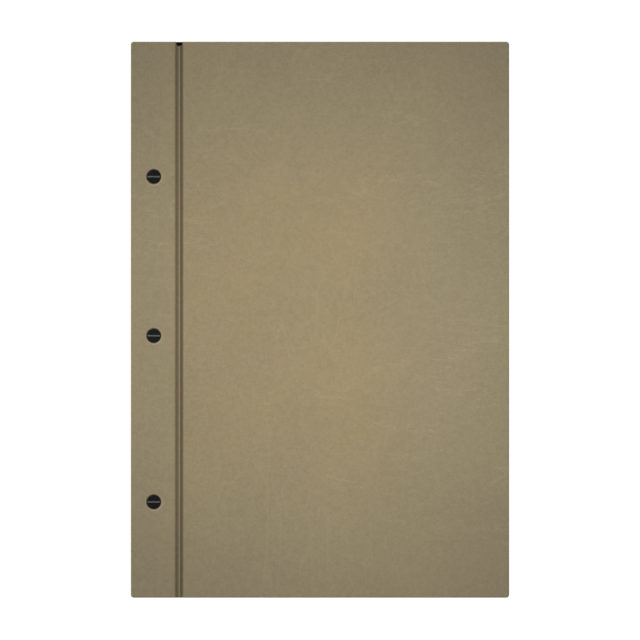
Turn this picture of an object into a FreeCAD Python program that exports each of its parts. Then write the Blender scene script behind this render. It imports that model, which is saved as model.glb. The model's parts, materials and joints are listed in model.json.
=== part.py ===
"""Post-bound scrapbook album: two hinged leatherette covers, a block of card leaves and three screw posts.

The album lies closed on its rear cover. +Z is up through the front cover, +Y runs to the head, +X to
the fore-edge, and the origin is the middle of the footprint at the surface that it lies on. Inside this
script x is measured from the spine edge and y from the tail edge, and each piece's Placement centres it.
"""
import FreeCAD, Part
import Sketcher
import os

DIMENSIONS = [
    ("cover_width", 250.6, "closed album, spine edge to fore-edge"),
    ("cover_height", 368.3, "closed album, tail to head"),
    ("spine_to_hinge", 32.1, "spine edge to the middle of the hinge groove"),
    ("crease_gap", 3.0, "between the two creases of a hinge"),
    ("crease_depth", 1.6, "crease below the cover's outer face"),
    ("crease_play", 0.05, "half of the slit that each crease is modelled with"),
    ("floor_width", 5.2, "width of the groove's floor, wall to wall"),
    ("bead_rise", 0.6, "crest of the hinge bead above the creases"),
    ("skin_thick", 0.4, "leatherette"),
    ("board_thick", 2.0, "greyboard"),
    ("liner_thick", 0.3, "lining paper and hinge cloth"),
    ("turn_in", 15.0, "leatherette folded round onto the inside"),
    ("corner_round", 2.0, "cover corners, seen from above"),
    ("edge_round", 0.8, "cover edges, outside"),
    ("inner_round", 0.3, "cover edges, inside"),
    ("lining_margin", 3.0, "cover edge to lining"),
    ("panel_flange", 15.0, "width of hinge cloth glued under a cover panel"),
    ("strip_flange", 8.6, "the same, under a binding strip, clear of the posts"),
    ("mouth_radius", 2.1, "round-ended opening at the head end of a hinge bead"),
    ("mouth_from_head", 0.9, "middle of its round end, below the head edge"),
    ("stub_thick", 0.9, "binding margin of a leaf, folded double"),
    ("leaf_thick", 0.45, "card of a leaf"),
    ("leaf_reach", 245.0, "spine edge to a leaf's fore-edge"),
    ("leaf_inset", 6.35, "leaf short of the cover at head and tail"),
    ("stub_inset", 0.8, "leaf short of the cover at the spine"),
    ("stub_to_hinge", 3.5, "folded margin short of the hinge's middle"),
    ("post_from_spine", 15.2, "screw posts from the spine edge"),
    ("post_head_side", 278.95, "post nearest the head, from the tail edge"),
    ("post_middle", 173.55, "middle post, from the tail edge"),
    ("post_tail_side", 63.45, "post nearest the tail, from the tail edge"),
    ("hole_radius", 2.7, "punched holes that the posts pass through"),
    ("head_radius", 4.75, "heads of the screws and posts"),
    ("head_thick", 1.0, "the same"),
    ("head_recess", 0.1, "heads below the cover's outer face"),
    ("head_play", 0.05, "head above the bottom of its dish"),
    ("dish_radius", 5.6, "dish pressed round a head, at the outer face"),
    ("seat_radius", 4.95, "the same, at its bottom"),
    ("barrel_radius", 2.5, "post barrel"),
    ("barrel_short", 0.2, "barrel below the screw's head"),
    ("shank_radius", 1.75, "screw shank"),
    ("shank_length", 9.0, "screw below its head"),
    ("shank_play", 0.05, "radial play of the shank in its post"),
    ("bore_spare", 1.0, "bore beyond the screw's tip"),
    ("rim_round", 0.25, "rounded rim of the heads"),
    ("slot_width", 1.0, "screwdriver slot"),
    ("slot_depth", 0.55, "the same"),
]
LEAF_COUNT = 12

doc = FreeCAD.newDocument("ScrapbookAlbum")
sheet = doc.addObject("Spreadsheet::Sheet", "Dims")


class Size:
    """A length with its number and the spreadsheet expression that it is bound with."""

    def __init__(self, number, text):
        self.number = number
        self.text = text

    def joined(self, sign, other, number):
        text = other.text if isinstance(other, Size) else repr(other)
        return Size(number, f"({self.text} {sign} {text})")

    def __add__(self, other):
        return self.joined("+", other, self.number + number_of(other))

    def __sub__(self, other):
        return self.joined("-", other, self.number - number_of(other))

    def __mul__(self, other):
        return self.joined("*", other, self.number * number_of(other))

    def __truediv__(self, other):
        return self.joined("/", other, self.number / number_of(other))


def number_of(value):
    return value.number if isinstance(value, Size) else value


def fill_sheet():
    """Writes the driving dimensions into the sheet and returns them as sizes."""
    sizes = {}
    for row, (alias, number, note) in enumerate(DIMENSIONS, start=1):
        sheet.set(f"A{row}", note)
        sheet.set(f"B{row}", str(number))
        sheet.setAlias(f"B{row}", alias)
        sizes[alias] = Size(number, f"Dims.{alias}")
    doc.recompute()
    return sizes


D = fill_sheet()
ZERO = Size(0.0, "0")

# Levels through the closed album, from the surface that it lies on.
COVER_THICK = D["skin_thick"] * 2 + D["board_thick"] + D["liner_thick"]
BLOCK_THICK = D["stub_thick"] * LEAF_COUNT
TOP = COVER_THICK * 2 + BLOCK_THICK
BOARD_TOP = TOP - D["skin_thick"]
BOARD_BOTTOM = BOARD_TOP - D["board_thick"]
SKIN_BOTTOM = BOARD_BOTTOM - D["skin_thick"]
LINER_BOTTOM = SKIN_BOTTOM - D["liner_thick"]
CREASE_TOP = TOP - D["crease_depth"]
CREASE_BOTTOM = CREASE_TOP - D["skin_thick"]
SEAT_DEPTH = D["head_recess"] + D["head_thick"] + D["head_play"]

# Places across the hinge, from the spine edge.
HINGE = D["spine_to_hinge"]
SPINE_CREASE = HINGE - D["crease_gap"] / 2
FORE_CREASE = HINGE + D["crease_gap"] / 2
SPINE_WALL = HINGE - D["floor_width"] / 2
FORE_WALL = HINGE + D["floor_width"] / 2
STRIP_BOARD_EDGE = SPINE_WALL - D["skin_thick"]
PANEL_BOARD_EDGE = FORE_WALL + D["skin_thick"]
STRIP_FLANGE_END = STRIP_BOARD_EDGE - D["strip_flange"]
PANEL_FLANGE_END = PANEL_BOARD_EDGE + D["panel_flange"]

POSTS = {"head": D["post_head_side"], "middle": D["post_middle"], "tail": D["post_tail_side"]}


def bind(thing, **sizes):
    """Binds properties to the sheet. A double underscore stands for a dot."""
    for name, size in sizes.items():
        thing.setExpression(name.replace("__", "."), size.text)


def place(thing, x=ZERO, y=ZERO, z=ZERO):
    """Puts a piece at x from the spine edge, y from the tail edge and z above the surface below."""
    bind(
        thing,
        Placement__Base__x=x - D["cover_width"] / 2,
        Placement__Base__y=y - D["cover_height"] / 2,
        Placement__Base__z=z,
    )


def new_body(name):
    body = doc.addObject("PartDesign::Body", name)
    body.Label = name
    return body


def new_sketch(body, role, name, lift=None):
    """A sketch on one of the body's own origin planes, lifted along that plane's normal."""
    planes = {feature.Role: feature for feature in body.Origin.OriginFeatures}
    sketch = body.newObject("Sketcher::SketchObject", name)
    sketch.AttachmentSupport = (planes[role], [""])
    sketch.MapMode = "FlatFace"
    if lift is not None:
        bind(sketch, AttachmentOffset__Base__z=lift)
    return sketch


def hold_point(sketch, edge, end, x, y):
    """Holds one end or centre of a sketch edge at (x, y) from the sketch's origin."""
    vertical_axis, horizontal_axis, origin = -2, -1, (-1, 1)
    for kind, size, axis in (("DistanceX", x, vertical_axis), ("DistanceY", y, horizontal_axis)):
        if abs(size.number) < 1e-9:
            sketch.addConstraint(Sketcher.Constraint("PointOnObject", edge, end, axis))
            continue
        held = sketch.addConstraint(Sketcher.Constraint(kind, *origin, edge, end, size.number))
        sketch.setExpression(f"Constraints[{held}]", size.text)


def draw_outline(sketch, corners):
    """Draws a closed run of straight lines. Every corner is a pair of sizes."""
    first = sketch.GeometryCount
    points = [FreeCAD.Vector(x.number, y.number, 0) for x, y in corners]
    for here, there in zip(points, points[1:] + points[:1]):
        sketch.addGeometry(Part.LineSegment(here, there), False)
    for step in range(len(corners)):
        following = first + (step + 1) % len(corners)
        sketch.addConstraint(Sketcher.Constraint("Coincident", first + step, 2, following, 1))
    for step, (x, y) in enumerate(corners):
        hold_point(sketch, first + step, 1, x, y)


def draw_rectangle(sketch, left, right, low, high):
    draw_outline(sketch, [(left, low), (right, low), (right, high), (left, high)])


def draw_hole(sketch, x, y, radius):
    centre = FreeCAD.Vector(x.number, y.number, 0)
    circle = sketch.addGeometry(Part.Circle(centre, FreeCAD.Vector(0, 0, 1), radius.number), False)
    hold_point(sketch, circle, 3, x, y)
    held = sketch.addConstraint(Sketcher.Constraint("Radius", circle, radius.number))
    sketch.setExpression(f"Constraints[{held}]", radius.text)


def pad(body, sketch, length, reverse=False):
    feature = body.newObject("PartDesign::Pad", sketch.Name + "_pad")
    feature.Profile = sketch
    feature.Reversed = reverse
    bind(feature, Length=length)
    return feature


def plate(name, left, right, low, high, bottom, thick, punched=False):
    """A flat sheet or board, punched for the posts if it is in the binding."""
    body = new_body(name)
    sketch = new_sketch(body, "XY_Plane", name + "_outline")
    draw_rectangle(sketch, left, right, low, high)
    if punched:
        for y in POSTS.values():
            draw_hole(sketch, D["post_from_spine"], y, D["hole_radius"])
    pad(body, sketch, thick)
    place(body, z=bottom)
    return body


def add_step(body, left, right, low, high, lift, thick):
    """Adds a second flat layer to a plate, lifted above the plate's own bottom."""
    sketch = new_sketch(body, "XY_Plane", body.Name + "_step", lift)
    draw_rectangle(sketch, left, right, low, high)
    pad(body, sketch, thick)


def round_edges(body, name, wanted, radius):
    """Fillets the edges of a body's newest solid that the test picks out."""
    doc.recompute()
    base = body.Tip
    edges = base.Shape.Edges
    feature = body.newObject("PartDesign::Fillet", name)
    feature.Base = (base, [f"Edge{n}" for n, edge in enumerate(edges, start=1) if wanted(edge)])
    bind(feature, Radius=radius)


def stands_at(x):
    """Picks vertical edges at x from the spine edge."""
    def wanted(edge):
        box = edge.BoundBox
        return box.ZLength > 0.5 and box.XLength < 1e-6 and abs(box.XMin - x.number) < 1e-6
    return wanted


def lies_at(z, but_not_x=None):
    """Picks edges in the plane at height z, leaving out the straight one at x."""
    def wanted(edge):
        box = edge.BoundBox
        skipped = (
            but_not_x is not None
            and box.XLength < 1e-6
            and abs(box.XMin - but_not_x.number) < 1e-6
        )
        return box.ZLength < 1e-6 and abs(box.ZMin - z.number) < 1e-6 and not skipped
    return wanted


def box(name, left, right, low, high, bottom, top):
    """A plain block, used to cut with or to join on."""
    block = doc.addObject("Part::Box", name)
    bind(block, Length=right - left, Width=high - low, Height=top - bottom)
    place(block, left, low, bottom)
    return block


def join(name, *pieces):
    fused = doc.addObject("Part::MultiFuse", name)
    fused.Shapes = list(pieces)
    fused.Label = name
    return fused


def cut(name, base, *tools):
    """Cuts every tool out of base."""
    result = doc.addObject("Part::Cut", name)
    result.Base = base
    result.Tool = tools[0] if len(tools) == 1 else join(name + "_tools", *tools)
    result.Label = name
    return result


def cones(name, low_radius, high_radius, bottom, top):
    """Three tapered cutters, one at each post."""
    made = []
    for end, y in POSTS.items():
        cone = doc.addObject("Part::Cone", f"{name}_{end}")
        bind(cone, Radius1=low_radius, Radius2=high_radius, Height=top - bottom)
        place(cone, D["post_from_spine"], y, bottom)
        made.append(cone)
    return made


def barrels(name, bottom, top):
    """Three straight cutters for the punched holes."""
    made = []
    for end, y in POSTS.items():
        barrel = doc.addObject("Part::Cylinder", f"{name}_{end}")
        bind(barrel, Radius=D["hole_radius"], Height=top - bottom)
        place(barrel, D["post_from_spine"], y, bottom)
        made.append(barrel)
    return made


def mouth(name):
    """The round-ended cutter that opens a hinge bead at its head end."""
    radius = D["mouth_radius"]
    middle = D["cover_height"] - D["mouth_from_head"]
    end = doc.addObject("Part::Cylinder", name + "_end")
    bind(end, Radius=radius, Height=TOP - CREASE_BOTTOM)
    place(end, HINGE, middle, CREASE_BOTTOM)
    head_edge = D["cover_height"] + D["edge_round"]
    way_out = box(name + "_way_out", HINGE - radius, HINGE + radius, middle, head_edge, CREASE_BOTTOM, TOP)
    return join(name, end, way_out)


def board(name, left, right, rounded_x, punched=False):
    """A greyboard, cut back by the leatherette all round, with round outer corners."""
    made = plate(
        name if not punched else name + "_blank",
        left,
        right,
        D["skin_thick"],
        D["cover_height"] - D["skin_thick"],
        BOARD_BOTTOM,
        D["board_thick"],
        punched,
    )
    round_edges(made, name + "_corners", stands_at(rounded_x), D["corner_round"] - D["skin_thick"])
    if not punched:
        return made
    dishes = cones(
        name + "_dish",
        D["seat_radius"] + D["skin_thick"],
        D["dish_radius"] + D["skin_thick"] / 2,
        TOP - SEAT_DEPTH - D["skin_thick"],
        BOARD_TOP,
    )
    return cut(name, made, *dishes)


def skin_slab(name, left, right, rounded_x, hinge_x):
    """The block whose outside is the leatherette's outside, before the board is cut out of it."""
    slab = plate(name, left, right, ZERO, D["cover_height"], SKIN_BOTTOM, TOP - SKIN_BOTTOM)
    round_edges(slab, name + "_corners", stands_at(rounded_x), D["corner_round"])
    round_edges(slab, name + "_outer_edges", lies_at(TOP - SKIN_BOTTOM), D["edge_round"])
    round_edges(slab, name + "_inner_edges", lies_at(ZERO, hinge_x), D["inner_round"])
    return slab


def strip_skin(strip_board):
    """Leatherette of the binding strip: wrapped round three edges, and down into the groove."""
    height = D["cover_height"]
    slab = skin_slab("strip_slab", ZERO, SPINE_WALL, ZERO, SPINE_WALL)
    foot_end = SPINE_CREASE - D["crease_play"]
    foot = box("strip_foot", STRIP_BOARD_EDGE, foot_end, ZERO, height, CREASE_BOTTOM, CREASE_TOP)
    under_wall = box(
        "strip_under_wall", STRIP_BOARD_EDGE, HINGE, ZERO, height, SKIN_BOTTOM, CREASE_BOTTOM
    )
    window = box(
        "strip_window", D["turn_in"], HINGE, D["turn_in"], height - D["turn_in"], SKIN_BOTTOM, BOARD_BOTTOM
    )
    seats = cones("strip_dish", D["seat_radius"], D["dish_radius"], TOP - SEAT_DEPTH, TOP)
    holes = barrels("strip_hole", SKIN_BOTTOM, TOP)
    whole = join("strip_skin_blank", slab, foot)
    return cut(
        "front_strip_skin", whole, strip_board, under_wall, window, mouth("strip_mouth"), *seats, *holes
    )


def panel_skin(panel_board):
    """Leatherette of the cover panel: wrapped round three edges, and down into the groove."""
    height = D["cover_height"]
    width = D["cover_width"]
    slab = skin_slab("panel_slab", FORE_WALL, width, width, FORE_WALL)
    foot_start = FORE_CREASE + D["crease_play"]
    foot = box("panel_foot", foot_start, PANEL_BOARD_EDGE, ZERO, height, CREASE_BOTTOM, CREASE_TOP)
    under_wall = box(
        "panel_under_wall", HINGE, PANEL_BOARD_EDGE, ZERO, height, SKIN_BOTTOM, CREASE_BOTTOM
    )
    window = box(
        "panel_window",
        HINGE,
        width - D["turn_in"],
        D["turn_in"],
        height - D["turn_in"],
        SKIN_BOTTOM,
        BOARD_BOTTOM,
    )
    whole = join("panel_skin_blank", slab, foot)
    return cut("front_panel_skin", whole, panel_board, under_wall, window, mouth("panel_mouth"))


def point(x, y):
    return FreeCAD.Vector(x.number, y.number, 0)


def hinge_bead():
    """The hollow bead of leatherette between the two creases, open at the head."""
    body = new_body("hinge_bead_blank")
    sketch = new_sketch(body, "XZ_Plane", "bead_profile")
    skin = D["skin_thick"]
    left = SPINE_CREASE + D["crease_play"]
    right = FORE_CREASE - D["crease_play"]
    crest = skin + D["bead_rise"]
    edges = [
        Part.LineSegment(point(left, ZERO), point(left, skin)),
        Part.Arc(point(left, skin), point(HINGE, crest), point(right, skin)),
        Part.LineSegment(point(right, skin), point(right, ZERO)),
        Part.LineSegment(point(right, ZERO), point(right - skin, ZERO)),
        Part.Arc(point(right - skin, ZERO), point(HINGE, D["bead_rise"]), point(left + skin, ZERO)),
        Part.LineSegment(point(left + skin, ZERO), point(left, ZERO)),
    ]
    for edge in edges:
        sketch.addGeometry(edge, False)
    start, end = 1, 2
    # An arc's start and end follow its anticlockwise sense, so the outer arc starts on the right.
    joints = [(0, end, 1, end), (1, start, 2, start), (2, end, 3, start), (3, end, 4, start)]
    joints += [(4, end, 5, start), (5, end, 0, start)]
    for joint in joints:
        sketch.addConstraint(Sketcher.Constraint("Coincident", *joint))
    hold_point(sketch, 0, start, left, ZERO)
    hold_point(sketch, 0, end, left, skin)
    hold_point(sketch, 2, start, right, skin)
    hold_point(sketch, 2, end, right, ZERO)
    hold_point(sketch, 4, start, right - skin, ZERO)
    hold_point(sketch, 4, end, left + skin, ZERO)
    for arc, chord in ((1, right - left), (4, right - left - skin * 2)):
        rise = D["bead_rise"]
        radius = (chord * chord / 4 + rise * rise) / (rise * 2)
        held = sketch.addConstraint(Sketcher.Constraint("Radius", arc, radius.number))
        sketch.setExpression(f"Constraints[{held}]", radius.text)
    pad(body, sketch, D["cover_height"], reverse=True)
    place(body, z=CREASE_BOTTOM)
    return cut("front_hinge_bead", body, mouth("bead_mouth"))


def hinge_cloth():
    """The band of black cloth under the bead, between the creases."""
    return plate(
        "front_hinge_cloth",
        SPINE_CREASE + D["crease_play"],
        FORE_CREASE - D["crease_play"],
        D["liner_thick"],
        D["cover_height"] - D["liner_thick"],
        CREASE_BOTTOM - D["liner_thick"],
        D["liner_thick"],
    )


def cloth_flange(name, flange_edge, board_edge, crease_edge):
    """Hinge cloth glued under a board: a riser up to the crease, and a flat flange inside the turn-ins."""
    body = new_body(name)
    riser = new_sketch(body, "XZ_Plane", name + "_riser", D["liner_thick"] * -1)
    rise = CREASE_BOTTOM - SKIN_BOTTOM
    slope = rise - D["skin_thick"]
    corners = [
        (board_edge, ZERO),
        (crease_edge, slope),
        (crease_edge, rise),
        (board_edge, rise),
    ]
    draw_outline(riser, corners)
    pad(body, riser, D["cover_height"] - D["liner_thick"] * 2, reverse=True)
    flange = new_sketch(body, "XY_Plane", name + "_flange")
    draw_rectangle(
        flange, flange_edge, board_edge, D["turn_in"], D["cover_height"] - D["turn_in"]
    )
    pad(body, flange, D["skin_thick"])
    place(body, z=SKIN_BOTTOM)
    return body


def strip_liner():
    """Lining paper of the binding strip, on the side that the leaves are clamped to."""
    return plate(
        "front_strip_liner",
        D["lining_margin"],
        STRIP_BOARD_EDGE - D["skin_thick"],
        D["lining_margin"],
        D["cover_height"] - D["lining_margin"],
        LINER_BOTTOM,
        D["liner_thick"],
        punched=True,
    )


def panel_liner():
    """Lining paper of the cover panel, with the filler that levels it between the turn-ins."""
    margin = D["lining_margin"]
    far = D["cover_width"] - margin
    body = plate(
        "front_panel_liner",
        PANEL_BOARD_EDGE + margin,
        far,
        margin,
        D["cover_height"] - margin,
        LINER_BOTTOM,
        D["liner_thick"],
    )
    add_step(
        body,
        PANEL_FLANGE_END,
        D["cover_width"] - D["turn_in"],
        D["turn_in"],
        D["cover_height"] - D["turn_in"],
        D["liner_thick"],
        D["skin_thick"],
    )
    return body


def front_cover():
    """Every piece of the front cover, in place."""
    strip_board = board("front_strip_board", D["skin_thick"], STRIP_BOARD_EDGE, D["skin_thick"], True)
    fore_edge = D["cover_width"] - D["skin_thick"]
    panel_board = board("front_panel_board", PANEL_BOARD_EDGE, fore_edge, fore_edge)
    return [
        strip_board,
        strip_skin(strip_board),
        strip_liner(),
        cloth_flange(
            "front_strip_cloth", STRIP_FLANGE_END, STRIP_BOARD_EDGE, SPINE_CREASE - D["crease_play"]
        ),
        hinge_bead(),
        hinge_cloth(),
        panel_board,
        panel_skin(panel_board),
        panel_liner(),
        cloth_flange(
            "front_panel_cloth", PANEL_FLANGE_END, PANEL_BOARD_EDGE, FORE_CREASE + D["crease_play"]
        ),
    ]


def rear_cover(front_pieces):
    """The rear cover is the front one mirrored through the middle of the album's thickness."""
    made = []
    for front in front_pieces:
        name = front.Label.replace("front_", "rear_")
        mirrored = doc.addObject("Part::Mirroring", name)
        mirrored.Source = front
        mirrored.Normal = FreeCAD.Vector(0, 0, 1)
        bind(mirrored, Base__z=TOP / 2)
        mirrored.Label = name
        made.append(mirrored)
    return made


def leaf(number):
    """One leaf of card: a folded binding margin held by the posts, and the part that turns."""
    bottom = COVER_THICK + D["stub_thick"] * (LEAF_COUNT - number)
    card_lift = (D["stub_thick"] - D["leaf_thick"]) / 2
    fold_end = HINGE - D["stub_to_hinge"]
    low = D["leaf_inset"]
    high = D["cover_height"] - D["leaf_inset"]
    name = f"leaf_{number:02d}"
    stub = plate(
        name + "_stub", D["stub_inset"], fold_end, low, high, bottom, D["stub_thick"], punched=True
    )
    add_step(stub, fold_end, HINGE - D["crease_play"], low, high, card_lift, D["leaf_thick"])
    page = plate(
        name,
        HINGE + D["crease_play"],
        D["leaf_reach"],
        low,
        high,
        bottom + card_lift,
        D["leaf_thick"],
    )
    return [stub, page]


def turned(name, corners):
    """A round piece: its half outline turned about its own upright axis."""
    body = new_body(name)
    sketch = new_sketch(body, "XZ_Plane", name + "_half")
    draw_outline(sketch, corners)
    feature = body.newObject("PartDesign::Revolution", name + "_turned")
    feature.Profile = sketch
    feature.ReferenceAxis = (sketch, ["V_Axis"])
    feature.Angle = 360.0
    return body


def rim_at(z):
    """Picks the round rim of a head at height z."""
    def wanted(edge):
        box = edge.BoundBox
        wide = box.XLength > 2 * D["barrel_radius"].number + 1
        return wide and box.ZLength < 1e-6 and abs(box.ZMin - z.number) < 1e-6
    return wanted


def screw(end, y):
    """A slotted screw, down through the front strip and into its post."""
    name = f"screw_{end}"
    length = D["shank_length"]
    total = length + D["head_thick"]
    body = turned(
        name + "_blank",
        [
            (ZERO, ZERO),
            (D["shank_radius"], ZERO),
            (D["shank_radius"], length),
            (D["head_radius"], length),
            (D["head_radius"], total),
            (ZERO, total),
        ],
    )
    round_edges(body, name + "_rim", rim_at(total), D["rim_round"])
    bottom = TOP - D["head_recess"] - total
    place(body, D["post_from_spine"], y, bottom)
    reach = D["head_radius"] + D["skin_thick"]
    middle = D["post_from_spine"]
    half_slot = D["slot_width"] / 2
    top = bottom + total
    floor = top - D["slot_depth"]
    slot = box(name + "_slot", middle - reach, middle + reach, y - half_slot, y + half_slot, floor, top)
    return cut(name, body, slot)


def post(end, y):
    """A post: a head under the rear strip and a bored barrel up through the block."""
    name = f"post_{end}"
    bore = D["shank_radius"] + D["shank_play"]
    bottom = D["head_recess"]
    head_below_screw = TOP - D["head_recess"] - D["head_thick"] - bottom
    barrel_top = head_below_screw - D["barrel_short"]
    bore_bottom = head_below_screw - D["shank_length"] - D["bore_spare"]
    body = turned(
        name,
        [
            (ZERO, ZERO),
            (D["head_radius"], ZERO),
            (D["head_radius"], D["head_thick"]),
            (D["barrel_radius"], D["head_thick"]),
            (D["barrel_radius"], barrel_top),
            (bore, barrel_top),
            (bore, bore_bottom),
            (ZERO, bore_bottom),
        ],
    )
    round_edges(body, name + "_rim", rim_at(ZERO), D["rim_round"])
    place(body, D["post_from_spine"], y, bottom)
    return body


def build():
    front = front_cover()
    pieces = front + rear_cover(front)
    for number in range(1, LEAF_COUNT + 1):
        pieces += leaf(number)
    for end, y in POSTS.items():
        pieces += [screw(end, y), post(end, y)]
    return pieces


def check(pieces):
    """Stops the build if any feature failed or any piece isn't one or more sound solids."""
    doc.recompute()
    failed = [o.Name for o in doc.Objects if "Invalid" in o.State or "Error" in o.State]
    if failed:
        raise RuntimeError(f"these features failed: {failed}")
    for piece in pieces:
        shape = piece.Shape
        if shape.isNull() or not shape.isValid() or not shape.Solids or shape.Volume <= 0:
            raise RuntimeError(f"{piece.Label} is not a sound solid")


def export(pieces):
    os.makedirs("parts", exist_ok=True)
    for old in os.listdir("parts"):
        os.remove(os.path.join("parts", old))
    for piece in pieces:
        piece.Shape.exportStep(f"parts/{piece.Label}.step")
        box_ = piece.Shape.BoundBox
        print(
            f"{piece.Label:24s} {len(piece.Shape.Solids)} solid, {piece.Shape.Volume:10.2f} mm3,"
            f" z {box_.ZMin:.3f} to {box_.ZMax:.3f}"
        )


album = build()
check(album)
export(album)
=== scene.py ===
"""Looks of the post-bound scrapbook album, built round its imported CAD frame.

Metres throughout, in the CAD's own frame: +Z up through the front cover, +Y to the head, +X to the fore-edge.
The leatherette, hinge cloth, leaves, screws and posts are made here. Boards and linings are the CAD's own.
"""

import json
import math
from bisect import bisect_right
from functools import partial

import bmesh
import bpy
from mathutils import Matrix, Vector, noise

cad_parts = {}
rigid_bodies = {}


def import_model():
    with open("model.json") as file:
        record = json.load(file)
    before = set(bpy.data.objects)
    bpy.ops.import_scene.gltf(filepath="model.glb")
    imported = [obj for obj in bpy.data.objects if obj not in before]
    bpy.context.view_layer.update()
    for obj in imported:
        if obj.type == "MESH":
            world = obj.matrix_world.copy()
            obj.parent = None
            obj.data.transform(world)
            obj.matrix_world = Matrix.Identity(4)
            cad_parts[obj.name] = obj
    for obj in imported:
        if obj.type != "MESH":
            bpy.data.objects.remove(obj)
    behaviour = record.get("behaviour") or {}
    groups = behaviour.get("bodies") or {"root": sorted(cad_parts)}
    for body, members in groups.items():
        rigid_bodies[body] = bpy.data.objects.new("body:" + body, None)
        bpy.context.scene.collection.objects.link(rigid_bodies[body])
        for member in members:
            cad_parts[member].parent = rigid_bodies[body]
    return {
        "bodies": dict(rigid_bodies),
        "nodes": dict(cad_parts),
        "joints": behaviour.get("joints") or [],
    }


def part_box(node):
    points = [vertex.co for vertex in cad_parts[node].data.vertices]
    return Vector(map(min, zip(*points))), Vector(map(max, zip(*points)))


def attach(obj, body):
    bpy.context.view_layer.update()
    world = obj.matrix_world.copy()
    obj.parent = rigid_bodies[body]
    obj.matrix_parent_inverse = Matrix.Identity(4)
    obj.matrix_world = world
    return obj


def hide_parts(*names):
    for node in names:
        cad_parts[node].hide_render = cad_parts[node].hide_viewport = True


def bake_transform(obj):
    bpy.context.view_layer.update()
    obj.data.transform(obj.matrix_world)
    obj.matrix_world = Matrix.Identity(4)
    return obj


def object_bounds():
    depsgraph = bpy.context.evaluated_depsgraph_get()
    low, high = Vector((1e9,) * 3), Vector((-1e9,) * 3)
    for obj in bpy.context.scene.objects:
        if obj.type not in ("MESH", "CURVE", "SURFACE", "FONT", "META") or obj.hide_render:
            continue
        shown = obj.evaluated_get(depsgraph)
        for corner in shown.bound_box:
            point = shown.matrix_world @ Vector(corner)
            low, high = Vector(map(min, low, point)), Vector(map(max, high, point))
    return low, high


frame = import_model()
cad_low, cad_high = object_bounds()

MM = 0.001
THICK = cad_high.z
JOINTS = {joint["name"]: joint for joint in frame["joints"]}
POST_ENDS = ("head", "middle", "tail")
LEAF_COUNT = sum(body.startswith("leaf_") for body in frame["bodies"])

HINGE_X = JOINTS["front_cover_open"]["pos_m"][0]
SPINE_CREASE = JOINTS["front_hinge_fold"]["pos_m"][0]
HALF_CREASE_GAP = HINGE_X - SPINE_CREASE
FORE_CREASE = HINGE_X + HALF_CREASE_GAP
CREASE_DEPTH = THICK - JOINTS["front_hinge_fold"]["pos_m"][2]
POSTS = {end: Vector(JOINTS[f"screw_{end}_turn"]["pos_m"]) for end in POST_ENDS}
POST_X = POSTS["head"].x
BOARD_LOW, BOARD_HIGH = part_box("front_panel_board")
SKIN = THICK - BOARD_HIGH.z
SKIN_DROP = THICK - BOARD_LOW.z + SKIN

# Leatherette, wrapped round a cover's edges.
LEATHER_THICK = 0.34 * MM
CORNER = 2.0 * MM
EDGE_ROUND = 0.9 * MM
INNER_ROUND = 0.3 * MM
TURN_IN = 15 * MM

# The hinge groove, in mm: distance off its middle and depth, over the bead's crest, a crease and the wall.
# The mesh has a column of vertices at each of these distances, and at the ones between them.
GROOVE = [
    (0, 1.02), (0.3, 1.05), (0.6, 1.16), (0.9, 1.36), (1.15, 1.54), (1.5, 1.62), (1.75, 1.56), (1.95, 1.36),
    (2.3, 0.86), (2.6, 0.46), (2.95, 0.16), (3.2, 0.05), (3.5, 0),
]
BETWEEN_GROOVE_POINTS = [0.15, 0.45, 0.75, 1.3, 1.42, 1.58, 2.09, 2.12, 4.0]
GROOVE_HALF = GROOVE[-1][0] * MM

# The round opening at the head end of the hinge: half its width, its length, and how far the grid gives way.
MOUTH_HALF = 2.1 * MM
MOUTH_LENGTH = 3.0 * MM
MOUTH_PULL = 12 * MM

# A pressed dish round a screw's head, in mm: radius and depth.
DISH = [(2.7, 1.15), (4.95, 1.15), (5.08, 0.72), (5.25, 0.44), (5.5, 0.25), (5.9, 0.1), (6.4, 0.03), (7.0, 0)]
DISH_RIM = 5.5 * MM

# Round a post the grid is rings out to the first of these distances, and square again from the second on.
PUNCH_ROUND = 7.0 * MM
PUNCH_REACH = 9.5 * MM
BARREL_HOLE = 2.7 * MM
RING_MARKS = sorted({radius for radius, _ in DISH} | {0.0, 1.4, 3.9, 4.75, 8.2, 9.5})

# Hinge cloth: its thickness, how far the cover's lies under the strip's, and its columns off the hinge in mm.
CLOTH_THICK = 0.22 * MM
CLOTH_LAP = 0.06 * MM
CLOTH_MARKS = [0.6, 1.2, 1.5, 1.8, 2.4, 3, 3.7]

# Leaves: a sheet's share of its page's thickness, the gap from its flap to the hinge's middle, how far its
# fore-edge stays back and how unevenly, and how much it waves.
CARD_SHARE = 0.94
FLAP_GAP = 3.5 * MM
FORE_EDGE_BACK = 0.3 * MM
FORE_EDGE_UNEVEN = 0.25 * MM
PAGE_WAVE = 0.1 * MM
LEAF_RING_MARKS = [0, 1.35, 2.7, 4.2, 6.5]

# Screws and posts.
HEAD_THICK = 1.0 * MM
HEAD_BREAK = 0.1 * MM
SCREW_RIM = 0.36 * MM
SCREW_DOME = 0.12 * MM
SLOT_WIDTH = 1.0 * MM
SLOT_DEPTH = 0.55 * MM
SLOT_LIP = 0.05 * MM
SHANK = 1.75 * MM
THREAD_ROOT = SHANK - 0.22 * MM
THREAD_PITCH = 0.5 * MM
POST_RIM = 0.22 * MM
POST_DOME = 0.14 * MM
BARREL = 2.5 * MM
BORE = 1.8 * MM
BARREL_BREAK = 0.15 * MM


# ---------------------------------------------------------------- small helpers

def smooth(t):
    """Eases from 0 to 1 as t goes from 0 to 1."""
    t = min(1.0, max(0.0, t))
    return t * t * (3 - 2 * t)


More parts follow.
